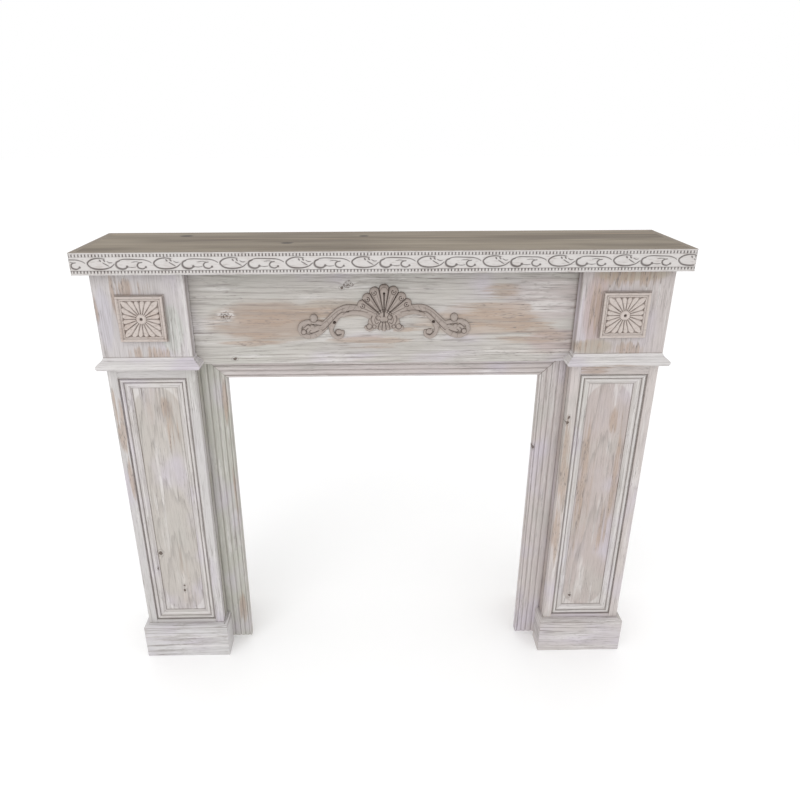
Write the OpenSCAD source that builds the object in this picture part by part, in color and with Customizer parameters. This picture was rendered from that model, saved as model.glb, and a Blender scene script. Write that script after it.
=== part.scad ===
// Carved pine fireplace mantelpiece that stands on two panelled legs.
// Each leg is an open-backed box: a frame-and-panel front with a plain block above it, and two
// side boards that run back to the wall. A frieze board joins the legs at the top, a mitred frame
// of reeded moulding lines the fire opening behind it, and a shelf edged with an embossed strip
// lies over everything. Origin: middle of the footprint box, on the floor. X runs along the shelf,
// the front faces -Y, Z is up. Millimetres.

/* [Overall] */
// Length of the shelf, over its edge strips
mantel_w = 1200; // [900:10:1800]
// Height from the floor to the top of the shelf
mantel_h = 996; // [850:1:1300]
// Depth from the face of the edge strip to the wall
shelf_d = 232; // [190:1:320]

/* [Shelf] */
// Thickness of the shelf board
board_t = 25; // [18:1:36]
// Thickness of the embossed edge strip
strip_t = 12; // [8:1:18]
// Height of the embossed edge strip
strip_h = 43; // [32:1:60]
// Height of the plain lips along the top and bottom of the strip
strip_lip = 3.5; // [2:0.5:5]
// Depth to which the embossed field lies behind the lips
strip_sunk = 1; // [0.5:0.1:2]
// How far the strip stands out past the faces of the blocks
strip_overhang = 24; // [20:1:60]

/* [Legs] */
// Width of the plain block at the head of each leg
leg_w = 184; // [150:1:230]
// Height of the block that shows between capital and shelf board
block_h = 193; // [130:1:240]
// How far the panelled front is set behind the face of the block
shaft_set = 5; // [0:1:10]
// How far each side of the panelled shaft is set in from the block
shaft_inset = 1; // [0:0.5:4]
// Thickness of the stiles and rails
frame_t = 18; // [16:1:24]
// Width of the stiles
stile_w = 20; // [16:1:40]
// Height of the top rail that shows below the capital
rail_top_show = 24; // [14:1:60]
// Height of the bottom rail that shows above the plinth
rail_bottom_show = 10; // [6:1:60]
// Thickness of the boards at the sides of the leg
side_t = 16; // [12:1:20]

/* [Leg panel] */
// Depth of the panel behind the face of the frame
panel_set = 9; // [6:1:12]
// Width of the rebate in which the panel lies, behind the frame
panel_lap = 6; // [4:1:10]
// Width of the moulding round the panel
bead_w = 23; // [16:1:30]

/* [Capital and plinth] */
// Height of the capital moulding
capital_h = 24; // [18:1:40]
// How far the capital stands out from the block
capital_out = 14; // [8:1:19]
// Height of the plinth
plinth_h = 90; // [60:1:160]
// Thickness of the plinth's front board
plinth_front_t = 16; // [12:1:20]
// Thickness of the plinth's side boards
plinth_side_t = 10; // [8:1:12]
// Width of the eased top edge of the plinth
plinth_ease = 3; // [1:0.5:5]

/* [Frieze and opening] */
// How far the frieze lies behind the backs of the stiles, rails and blocks
frieze_set = 2; // [0:1:40]
// Thickness of the frieze board
frieze_t = 18; // [16:1:25]
// Width of the reeded moulding round the opening
reed_w = 57; // [45:1:80]
// Thickness of the reeded moulding
reed_t = 18; // [14:1:22]
// Height of the reeded header that shows below the frieze
header_show = 38; // [25:1:42]
// Clearance between the slips and the floor
slip_lift = 14; // [0:1:25]

/* [Ornament] */
// Side of the square rosette tiles
rosette_w = 94; // [70:1:120]
// Thickness of the rosette tiles, over their frame
rosette_t = 10; // [7:1:14]
// Distance from the underside of the shelf board to the middle of a rosette
rosette_drop = 110; // [70:1:120]
// Petals of a rosette
rosette_rays = 16; // [8:4:24]
// Length of the carved shell and scroll
onlay_w = 350; // [250:5:450]
// Thickness of the shell and scroll at its fullest
onlay_t = 12; // [8:1:16]
// Distance from the underside of the shelf board to the base of the shell
onlay_drop = 118; // [95:1:125]

/* [Hidden] */
$fn = 32;
// Levels, from the floor up
z_board = mantel_h - board_t;
z_block = z_board - block_h;
z_capital = z_block - capital_h;
z_rail_top = z_capital - rail_top_show;
z_rail_bottom = plinth_h + rail_bottom_show;
z_opening = z_capital - header_show;
// Planes, from the front to the wall
y_strip = -shelf_d / 2;
y_wall = shelf_d / 2;
y_block = y_strip + strip_overhang;
y_shaft = y_block + shaft_set;
y_panel = y_shaft + panel_set;
y_side = y_shaft + frame_t;
y_plinth = y_shaft - plinth_front_t;
y_frieze = y_side + frieze_set;
y_reed = y_frieze + frieze_t;
// Distances from the middle of the mantelpiece
x_block_out = mantel_w / 2 - strip_overhang;
x_block_in = x_block_out - leg_w;
x_shaft_out = x_block_out - shaft_inset;
x_shaft_in = x_block_in + shaft_inset;
x_panel_out = x_shaft_out - stile_w;
x_panel_in = x_shaft_in + stile_w;
x_opening = x_shaft_in - reed_w;
x_leg = (x_block_in + x_block_out) / 2;
cut = 1; // length by which a cutting shape runs past what it cuts
LEG = ["block", "rosette", "outer_stile", "inner_stile", "top_rail", "bottom_rail", "panel",
       "panel_moulding_top", "panel_moulding_bottom", "panel_moulding_outer",
       "panel_moulding_inner", "capital_front", "capital_outer_return",
       "capital_inner_return", "plinth_front", "plinth_outer_return", "plinth_inner_return",
       "outer_side", "inner_side"];

limewash = [0.80, 0.78, 0.76];
worn_wash = [0.76, 0.71, 0.66];
carving_wash = [0.72, 0.67, 0.64];
shelf_brown = [0.58, 0.54, 0.49];

// Points along an arc, from angle a0 to angle a1
function arc(cx, cy, r, a0, a1, n = 8) =
    [for (i = [0 : n]) let (a = a0 + (a1 - a0) * i / n) [cx + r * cos(a), cy + r * sin(a)]];

// A point at a distance and an angle from a centre
function polar(c, r, a) = [c[0] + r * cos(a), c[1] + r * sin(a)];

// A plank between two opposite corners
module plank(low, high) translate(low) cube(high - low);

// Draws its children upright: their X stays, their Y becomes height, and they are built up
// towards the viewer from the plane y
module upright(y) translate([0, y, 0]) rotate([90, 0, 0]) children();

// Runs a section along X. The section's x becomes Y and its y becomes Z
module along_x(length) translate([-length / 2, 0, 0]) rotate([90, 0, 90])
    linear_extrude(length) children();

// Runs a section along Y. The section's x becomes X and its y becomes Z
module along_y(y0, y1) translate([0, y1, 0]) rotate([90, 0, 0])
    linear_extrude(y1 - y0) children();

// The right-hand leg is drawn; side = -1 mirrors it for the left one
module for_side(side) {
    if (side > 0) children();
    else mirror([1, 0, 0]) children();
}

// --- Shelf -------------------------------------------------------------------------------

module shelf_board() color(shelf_brown) plank(
    [-mantel_w / 2 + strip_t, y_strip + strip_t, z_board],
    [mantel_w / 2 - strip_t, y_wall, mantel_h]);

// Section of the edge strip: x is the distance in from the shown face, y the height
module strip_section() polygon([
    [strip_t, 0], [0, 0], [0, strip_lip], [strip_sunk, strip_lip],
    [strip_sunk, strip_h - strip_lip], [0, strip_h - strip_lip],
    [0, strip_h], [strip_t, strip_h]]);

module strip_plan(points) translate([0, 0, mantel_h - strip_h - cut])
    linear_extrude(strip_h + 2 * cut) polygon(points);

module edge_strip_front() color(limewash) intersection() {
    translate([0, y_strip, mantel_h - strip_h]) along_x(mantel_w) strip_section();
    strip_plan([[-mantel_w / 2, y_strip], [mantel_w / 2, y_strip],
                [mantel_w / 2 - strip_t, y_strip + strip_t],
                [-mantel_w / 2 + strip_t, y_strip + strip_t]]);
}

module edge_strip_return(side) color(limewash) for_side(side) intersection() {
    translate([mantel_w / 2, 0, mantel_h - strip_h]) mirror([1, 0, 0])
        along_y(y_strip, y_wall) strip_section();
    strip_plan([[mantel_w / 2, y_strip], [mantel_w / 2, y_wall],
                [mantel_w / 2 - strip_t, y_wall],
                [mantel_w / 2 - strip_t, y_strip + strip_t]]);
}

// --- Frieze and opening ------------------------------------------------------------------

module frieze_board() color(worn_wash) plank(
    [-x_shaft_in, y_frieze, z_capital], [x_shaft_in, y_reed, z_board]);

// Section of the reeded moulding: x runs outwards from the opening, y is the thickness.
// A narrow bead borders the opening, then two reeds and two wider bands, all flat on top and
// rounded over into the grooves between them
module reed_section() {
    edges = [0, 0.09, 0.28, 0.48, 0.73, 1] * reed_w;
    groove = 2.2; // depth of the grooves
    steps = 8;
    polygon(concat([[reed_w, 0], [0, 0]],
        [for (band = [0 : 4]) for (i = [0 : steps])
            let (u = i / steps, drop = groove * pow(2 * u - 1, 4))
            [edges[band] + u * (edges[band + 1] - edges[band]), reed_t - drop]
        ]));
}

module header_moulding() color(limewash) upright(y_reed + reed_t) intersection() {
    translate([0, z_opening, 0]) along_x(2 * x_shaft_in) reed_section();
    linear_extrude(reed_t + cut) polygon([
        [-x_opening, z_opening], [x_opening, z_opening],
        [x_shaft_in, z_opening + reed_w], [-x_shaft_in, z_opening + reed_w]]);
}

module slip(side) color(limewash) for_side(side) upright(y_reed + reed_t) intersection() {
    translate([x_opening, 0, 0]) along_y(slip_lift, z_opening + reed_w) reed_section();
    linear_extrude(reed_t + cut) polygon([
        [x_opening, slip_lift], [x_opening, z_opening],
        [x_shaft_in, z_opening + reed_w], [x_shaft_in, slip_lift]]);
}

// --- Legs --------------------------------------------------------------------------------

module block(side) color(limewash) for_side(side) plank(
    [x_block_in, y_block, z_block], [x_block_out, y_side, z_board]);

module stile(side, x0, rebate_x0) color(limewash) for_side(side) difference() {
    plank([x0, y_shaft, 0], [x0 + stile_w, y_side, z_block]);
    plank([rebate_x0, y_panel, z_rail_bottom - panel_lap],
          [rebate_x0 + panel_lap + cut, y_side + cut, z_rail_top + panel_lap]);
}

module outer_stile(side) stile(side, x_panel_out, x_panel_out - cut);
module inner_stile(side) stile(side, x_shaft_in, x_panel_in - panel_lap);

module rail(side, z0, z1, rebate_z0) color(limewash) for_side(side) difference() {
    plank([x_panel_in, y_shaft, z0], [x_panel_out, y_side, z1]);
    plank([x_panel_in - cut, y_panel, rebate_z0],
          [x_panel_out + cut, y_side + cut, rebate_z0 + panel_lap + cut]);
}

module top_rail(side) rail(side, z_rail_top, z_block, z_rail_top - cut);
module bottom_rail(side) rail(side, 0, z_rail_bottom, z_rail_bottom - panel_lap);

module panel(side) color(worn_wash) for_side(side) plank(
    [x_panel_in - panel_lap, y_panel, z_rail_bottom - panel_lap],
    [x_panel_out + panel_lap, y_side, z_rail_top + panel_lap]);

// Section of the moulding round the panel: x runs from the frame to the panel, y is the height
// over the panel. A quirk, a round bead, a groove, a hollow slope and a small step
module bead_section() {
    bead_r = bead_w * 0.15;
    quirk = bead_w * 0.11;
    groove = quirk + 2 * bead_r;
    floor_y = panel_set - bead_r - 0.4;
    step_y = panel_set * 0.3;
    polygon(concat(
        [[0, 0], [0, floor_y], [quirk, floor_y]],
        arc(quirk + bead_r, floor_y, bead_r, 180, 0),
        [[groove + 1, floor_y - 1]],
        [for (i = [0 : 8]) let (u = i / 8)
            [groove + 1.6 + u * (bead_w * 0.86 - groove - 1.6),
             step_y + (floor_y + 1 - step_y) * pow(1 - u, 1.6)]],
        [[bead_w * 0.88, step_y * 0.6], [bead_w, step_y * 0.6], [bead_w, 0]]));
}

// A run of the panel moulding, mitred at both ends, its outer edge along X
module bead_run(length) intersection() {
    translate([length / 2, 0, 0]) along_x(length) bead_section();
    linear_extrude(panel_set + cut) polygon([
        [0, 0], [length, 0], [length - bead_w, bead_w], [bead_w, bead_w]]);
}

module panel_moulding(side, edge) color(limewash) for_side(side) upright(y_panel) {
    opening_w = x_panel_out - x_panel_in;
    opening_h = z_rail_top - z_rail_bottom;
    if (edge == "bottom") translate([x_panel_in, z_rail_bottom]) bead_run(opening_w);
    if (edge == "top") translate([x_panel_out, z_rail_top]) rotate(180) bead_run(opening_w);
    if (edge == "outer") translate([x_panel_out, z_rail_bottom]) rotate(90) bead_run(opening_h);
    if (edge == "inner") translate([x_panel_in, z_rail_top]) rotate(-90) bead_run(opening_h);
}

module side_board(side, x0) color(limewash) for_side(side) plank(
    [x0, y_side, 0], [x0 + side_t, y_wall, z_board]);

module outer_side(side) side_board(side, x_shaft_out - side_t);
module inner_side(side) side_board(side, x_shaft_in);

// --- Capital -----------------------------------------------------------------------------

// Section of the capital: x is the distance in from its outermost face, y the height.
// From below: a small fillet, the main fillet, an ogee slope, and a quirk under the block
module capital_section(depth) polygon(concat(
    [[depth, 0], [1.5, 0], [1.5, capital_h * 0.13], [0, capital_h * 0.13],
     [0, capital_h * 0.36]],
    [for (i = [0 : 8]) let (u = i / 8)
        [capital_out * (0.06 + 0.62 * u),
         capital_h * (0.38 + 0.34 * (u + sin(360 * u) * 0.09))]],
    [[capital_out * 0.86, capital_h * 0.74], [capital_out * 0.86, capital_h * 0.86],
     [capital_out, capital_h], [depth, capital_h]]));

module capital_plan(points) translate([0, 0, z_capital - cut])
    linear_extrude(capital_h + 2 * cut) polygon(points);

module capital_front(side) color(limewash) for_side(side) intersection() {
    translate([x_leg, y_block - capital_out, z_capital])
        along_x(leg_w + 2 * capital_out) capital_section(capital_out + shaft_set);
    capital_plan([
        [x_block_in - capital_out, y_block - capital_out],
        [x_block_out + capital_out, y_block - capital_out],
        [x_block_out, y_block], [x_shaft_out, y_shaft], [x_shaft_in, y_shaft],
        [x_block_in, y_block]]);
}

module capital_outer_return(side) color(limewash) for_side(side) intersection() {
    translate([x_block_out + capital_out, 0, z_capital]) mirror([1, 0, 0])
        along_y(y_block - capital_out, y_wall) capital_section(capital_out + shaft_inset);
    capital_plan([
        [x_block_out + capital_out, y_block - capital_out],
        [x_block_out + capital_out, y_wall], [x_shaft_out, y_wall],
        [x_shaft_out, y_shaft], [x_block_out, y_block]]);
}

module capital_inner_return(side) color(limewash) for_side(side) intersection() {
    translate([x_block_in - capital_out, 0, z_capital])
        along_y(y_block - capital_out, y_frieze) capital_section(capital_out + shaft_inset);
    capital_plan([
        [x_block_in - capital_out, y_block - capital_out], [x_block_in, y_block],
        [x_shaft_in, y_shaft], [x_shaft_in, y_frieze],
        [x_block_in - capital_out, y_frieze]]);
}

// --- Plinth ------------------------------------------------------------------------------

// Section of a plinth board: x is the distance in from its face, y the height
module plinth_section(depth) polygon([
    [depth, 0], [0, 0], [0, plinth_h - plinth_ease], [plinth_ease, plinth_h],
    [depth, plinth_h]]);

module plinth_plan(points) translate([0, 0, -cut]) linear_extrude(plinth_h + 2 * cut)
    polygon(points);

module plinth_front(side) color(limewash) for_side(side) intersection() {
    translate([x_leg, y_plinth, 0])
        along_x(x_shaft_out - x_shaft_in + 2 * plinth_side_t) plinth_section(plinth_front_t);
    plinth_plan([
        [x_shaft_in - plinth_side_t, y_plinth], [x_shaft_out + plinth_side_t, y_plinth],
        [x_shaft_out, y_plinth + plinth_side_t], [x_shaft_out, y_shaft],
        [x_shaft_in, y_shaft], [x_shaft_in, y_plinth + plinth_side_t]]);
}

module plinth_outer_return(side) color(limewash) for_side(side) intersection() {
    translate([x_shaft_out + plinth_side_t, 0, 0]) mirror([1, 0, 0])
        along_y(y_plinth, y_wall) plinth_section(plinth_side_t);
    plinth_plan([
        [x_shaft_out + plinth_side_t, y_plinth], [x_shaft_out + plinth_side_t, y_wall],
        [x_shaft_out, y_wall], [x_shaft_out, y_plinth + plinth_side_t]]);
}

module plinth_inner_return(side) color(limewash) for_side(side) intersection() {
    translate([x_shaft_in - plinth_side_t, 0, 0])
        along_y(y_plinth, y_reed) plinth_section(plinth_side_t);
    plinth_plan([
        [x_shaft_in - plinth_side_t, y_plinth], [x_shaft_in, y_plinth + plinth_side_t],
        [x_shaft_in, y_reed], [x_shaft_in - plinth_side_t, y_reed]]);
}

// --- Ornament ----------------------------------------------------------------------------

// A tapering round finger between two points of the face, half sunk in it
module finger(a, b, r_a, r_b) hull() {
    translate([a[0], a[1], 0]) sphere(r_a, $fn = 12);
    translate([b[0], b[1], 0]) sphere(r_b, $fn = 12);
}

// A round bar along a list of points, thinning from r_a to r_b
module bar(points, r_a, r_b) {
    last = len(points) - 1;
    for (i = [0 : last - 1])
        finger(points[i], points[i + 1], r_a + (r_b - r_a) * i / last,
               r_a + (r_b - r_a) * (i + 1) / last);
}

// Square tile with a raised frame round a flower of petals that reach the frame
module rosette(side) color(carving_wash) for_side(side)
    translate([x_leg, 0, z_board - rosette_drop]) upright(y_block) {
    half = rosette_w / 2;
    field = half * 0.74;
    ground = rosette_t * 0.45;
    difference() {
        hull() {
            linear_extrude(rosette_t * 0.5) square(2 * half, center = true);
            linear_extrude(rosette_t) square(2 * half - rosette_t * 0.6, center = true);
        }
        translate([0, 0, ground]) linear_extrude(rosette_t) square(2 * field, center = true);
    }
    intersection() {
        translate([0, 0, rosette_t / 2]) cube([2 * field, 2 * field, rosette_t], center = true);
        translate([0, 0, ground]) for (i = [0 : rosette_rays - 1]) {
            a = 360 * i / rosette_rays;
            reach = field / max(abs(cos(a)), abs(sin(a)));
            finger(polar([0, 0], field * 0.28, a), polar([0, 0], reach * 0.9, a),
                   field * 0.05, reach * 0.13);
        }
    }
    intersection() {
        translate([0, 0, ground * 0.6]) sphere(field * 0.24, $fn = 24);
        linear_extrude(rosette_t * 1.1) square(2 * field, center = true);
    }
}

// Height of a stem of the scroll at a distance from the middle; it crests at 75
function stem_z(x) = 15 - (x < 75 ? 0.0032 : 0.0104) * pow(x - 75, 2);

// Fan shell between two leafy scrolls. Drawn round the point where the ribs of the shell meet
module shell_onlay() color(carving_wash)
    translate([0, 0, z_board - onlay_drop]) upright(y_frieze) {
    k = onlay_w / 350;
    stem_x = [22, 36, 50, 63, 75, 87, 98, 110, 122]; // places along a stem, from shell to leaf
    intersection() {
        translate([-onlay_w, -onlay_w, 0]) cube([2 * onlay_w, 2 * onlay_w, onlay_t]);
        union() {
            // ribs of the shell, each ending in a rounded lobe
            for (i = [-3 : 3]) {
                a = 90 - 19.5 * i;
                finger([0, 0], polar([0, 0], (59 - 5 * abs(sin(i * 60))) * k, a), 6 * k, 9.5 * k);
            }
            // leaf tuft below the shell
            for (i = [-2 : 2])
                finger([i * 4 * k, -4 * k], [i * 9 * k, (-24 + 3 * abs(i)) * k], 6 * k, 5 * k);
            for (s = [-1, 1]) {
                // scroll at the foot of the shell
                bar([for (t = [0 : 5]) polar([s * 27 * k, -12 * k], (15 - 1.6 * t) * k,
                    90 - s * (60 - 62 * t))], 4 * k, 5.5 * k);
                // arched stem from the shell out to the leaf
                bar([for (x = stem_x) [s * x * k, stem_z(x) * k]], 9 * k, 7 * k);
                // leaf at the end of the stem
                for (t = [0 : 3])
                    finger([s * (118 + 6 * t) * k, -12 * k],
                           polar([s * 148 * k, -26 * k], 21 * k, 90 - s * (20 + 45 * t)),
                           7 * k, 6 * k);
                // berry over the leaf
                translate([s * 143 * k, 0, 0]) sphere(8 * k, $fn = 16);
                // lower volute, hanging from the stem
                bar([for (t = [0 : 6]) polar([s * 95 * k, -31 * k], (14 - 1.3 * t) * k,
                    90 + s * (25 - 55 * t))], 3.5 * k, 5.5 * k);
                finger([s * 104 * k, -4 * k], [s * 106 * k, -22 * k], 6 * k, 4 * k);
            }
        }
    }
}

// --- Assembly ----------------------------------------------------------------------------

module leg_piece(name, side) {
    if (name == "block") block(side);
    if (name == "rosette") rosette(side);
    if (name == "outer_stile") outer_stile(side);
    if (name == "inner_stile") inner_stile(side);
    if (name == "top_rail") top_rail(side);
    if (name == "bottom_rail") bottom_rail(side);
    if (name == "panel") panel(side);
    if (name == "panel_moulding_top") panel_moulding(side, "top");
    if (name == "panel_moulding_bottom") panel_moulding(side, "bottom");
    if (name == "panel_moulding_outer") panel_moulding(side, "outer");
    if (name == "panel_moulding_inner") panel_moulding(side, "inner");
    if (name == "capital_front") capital_front(side);
    if (name == "capital_outer_return") capital_outer_return(side);
    if (name == "capital_inner_return") capital_inner_return(side);
    if (name == "plinth_front") plinth_front(side);
    if (name == "plinth_outer_return") plinth_outer_return(side);
    if (name == "plinth_inner_return") plinth_inner_return(side);
    if (name == "outer_side") outer_side(side);
    if (name == "inner_side") inner_side(side);
}

shelf_board();
edge_strip_front();
edge_strip_return(-1);  // edge_strip_left
edge_strip_return(1);  // edge_strip_right
frieze_board();
shell_onlay();
header_moulding();
slip(-1);  // left_slip
slip(1);  // right_slip
for (name = LEG) leg_piece(name, -1);
for (name = LEG) leg_piece(name, 1);
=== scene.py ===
import math

import bpy
import numpy as np
from mathutils import Matrix, Vector


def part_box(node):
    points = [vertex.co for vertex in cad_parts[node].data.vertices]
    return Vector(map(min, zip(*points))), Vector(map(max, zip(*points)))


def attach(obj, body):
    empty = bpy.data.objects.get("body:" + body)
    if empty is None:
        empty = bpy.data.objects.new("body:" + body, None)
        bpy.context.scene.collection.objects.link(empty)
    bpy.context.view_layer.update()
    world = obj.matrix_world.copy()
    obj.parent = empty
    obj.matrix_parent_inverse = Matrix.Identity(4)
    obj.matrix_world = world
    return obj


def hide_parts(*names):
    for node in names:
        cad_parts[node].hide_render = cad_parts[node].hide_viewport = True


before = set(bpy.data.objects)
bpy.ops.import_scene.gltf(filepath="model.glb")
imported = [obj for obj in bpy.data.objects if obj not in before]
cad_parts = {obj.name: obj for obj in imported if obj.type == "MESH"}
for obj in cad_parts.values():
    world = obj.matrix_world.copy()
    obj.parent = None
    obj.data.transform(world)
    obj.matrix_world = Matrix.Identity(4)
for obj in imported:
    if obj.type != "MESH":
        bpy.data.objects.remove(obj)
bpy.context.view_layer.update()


# --- Side boards of the legs ---
# Plain pine boards that run back to the wall on both sides of each leg, nailed behind the
# panelled front. They are brushed, limewashed and rubbed, so tan wood and grey grain show.

SIDES = ("left", "right")


class Socket:
    """Wraps a node's output, so that maths on it is written as sums."""

    def __init__(self, socket):
        self.socket = socket

    def node(self, kind, settings=None, inputs=None, output=0):
        """Adds a node of this kind to the same tree, and wraps one of its outputs."""
        tree = self.socket.id_data
        made = tree.nodes.new(kind)
        for name, value in (settings or {}).items():
            setattr(made, name, value)
        for name, value in (inputs or {}).items():
            if isinstance(value, Socket):
                tree.links.new(value.socket, made.inputs[name])
            else:
                made.inputs[name].default_value = value
        return Socket(made.outputs[output])

    def math(self, operation, *values):
        return self.node("ShaderNodeMath", {"operation": operation}, dict(enumerate(values)))

    def __add__(self, other):
        return self.math("ADD", self, other)

    def __radd__(self, other):
        return self.math("ADD", other, self)

    def __sub__(self, other):
        return self.math("SUBTRACT", self, other)

    def __rsub__(self, other):
        return self.math("SUBTRACT", other, self)

    def __mul__(self, other):
        return self.math("MULTIPLY", self, other)

    def __rmul__(self, other):
        return self.math("MULTIPLY", other, self)

    def __truediv__(self, other):
        return self.math("DIVIDE", self, other)

    def __pow__(self, other):
        return self.math("POWER", self, other)

    def __abs__(self):
        return self.math("ABSOLUTE", self)


def lower(value, *others):
    for other in others:
        value = value.math("MINIMUM", value, other)
    return value


def higher(value, *others):
    for other in others:
        value = value.math("MAXIMUM", value, other)
    return value


def step(value, start, end):
    """Goes smoothly from 0 where value is at start to 1 where it is at end."""
    return value.node(
        "ShaderNodeMapRange",
        {"interpolation_type": "SMOOTHSTEP"},
        {"Value": value, "From Min": start, "From Max": end},
    )


def line(value, at, width):
    """1 where value is at a place, falling to 0 a width away on both sides."""
    return step(abs(value - at), width, width * 0.15)


def layer(under, over, cover):
    """Colour over laid on colour under, as thick as cover says."""
    return cover.node(
        "ShaderNodeMix", {"data_type": "RGBA"}, {0: cover, 6: under, 7: over}, output=2
    )


def noise(place, per_metre, detail=2.0, roughness=0.55):
    """Noise from 0 to 1. per_metre is how many spots fit in a metre along each axis."""
    stretched = place.node(
        "ShaderNodeVectorMath", {"operation": "MULTIPLY"}, {0: place, 1: per_metre}
    )
    return place.node(
        "ShaderNodeTexNoise",
        {},
        {"Vector": stretched, "Scale": 1.0, "Detail": detail, "Roughness": roughness},
    )


def paint(red, green, blue):
    """A colour from its 0 to 255 screen values."""
    return [((c / 255 + 0.055) / 1.055) ** 2.4 for c in (red, green, blue)] + [1.0]


LIME = paint(199, 194, 191)
LIME_LILAC = paint(201, 194, 203)
LIME_GREEN = paint(189, 188, 181)
# thick lime, also used for painted highlights
THICK_LIME_AND_HIGHLIGHT = paint(226, 223, 221)
BARE = paint(175, 153, 136)
GRAIN_GREY = paint(136, 129, 125)
# brown of the glaze, also used for painted shade
GLAZE_AND_SHADE_BROWN = paint(112, 98, 90)
KNOT = paint(84, 70, 63)
PALE_KNOT = 0.006  # knots of this radius and more have cracked, and the wash filled them


def coordinates(tree):
    """The shaded point in the row frame, in metres, whole and as x, y and z."""
    place = Socket(tree.nodes.new("ShaderNodeTexCoord").outputs["Object"])
    parts = [place.node("ShaderNodeSeparateXYZ", {}, {0: place}, output=i) for i in range(3)]
    return [place] + parts


def new_material(name):
    material = bpy.data.materials.new(name)
    material.use_nodes = True
    material.node_tree.nodes.clear()
    return material


def close_material(colour, roughness, height, relief):
    """Joins a colour, a roughness and a height in metres to the material's surface."""
    bump = height.node("ShaderNodeBump", {}, {"Height": height, "Strength": relief, "Distance": 1.0})
    shader = height.node(
        "ShaderNodeBsdfPrincipled",
        {},
        {"Base Color": colour, "Roughness": roughness, "Normal": bump, "Specular IOR Level": 0.3},
    )
    surface = shader.socket.id_data.nodes.new("ShaderNodeOutputMaterial").inputs["Surface"]
    shader.socket.id_data.links.new(shader.socket, surface)


def spot(across, along, centre, size):
    """A soft-edged oval: 1 in its middle and 0 outside. Sizes are half its width and length."""
    u = (across - centre[0]) / size[0]
    v = (along - centre[1]) / size[1]
    return step(u * u + v * v, 1.3, 0.0)


def dress(node, material, eased=0.0009):
    """Gives a board its finish, and eases its edges by so much, as sandpaper does."""
    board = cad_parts[node]
    for holder in board.material_slots:
        holder.material = material
    weld = board.modifiers.new("joined faces", "WELD")
    weld.merge_threshold = 0.00001
    ease = board.modifiers.new("eased edges", "BEVEL")
    ease.width = eased
    ease.segments = 2
    ease.limit_method = "ANGLE"
    ease.angle_limit = math.radians(38)


def middle_of(node):
    low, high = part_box(node)
    return (low + high) / 2


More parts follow.
